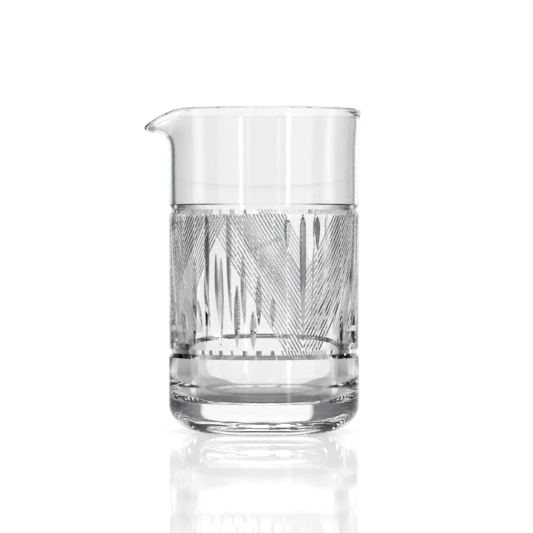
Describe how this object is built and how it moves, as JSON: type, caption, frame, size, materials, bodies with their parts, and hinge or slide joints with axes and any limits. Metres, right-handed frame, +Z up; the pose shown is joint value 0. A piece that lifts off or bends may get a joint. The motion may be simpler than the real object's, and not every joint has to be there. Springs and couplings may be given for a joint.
{
  "type": "mixing glass",
  "caption": "Cylindrical cut-glass mixing beaker with a heavy base, a band of diagonal hatching and vertical blade cuts, ring grooves, a plain collar and a pulled pouring spout.",
  "frame": {"origin": "centre of the flat foot, on the glass's axis", "axes": "+Z up along the glass's axis, spout towards -X, +Y completes a right-handed frame"},
  "size_m": [0.1006, 0.09, 0.15],
  "materials": {
    "crystal": "clear, polished, with polished wheel cuts"
  },
  "bodies": {
    "root": {"heavy_base": "crystal", "lower_wall": "crystal", "cut_band": "crystal", "collar": "crystal", "pouring_rim": "crystal", "spout": "crystal"}
  },
  "joints": []
}
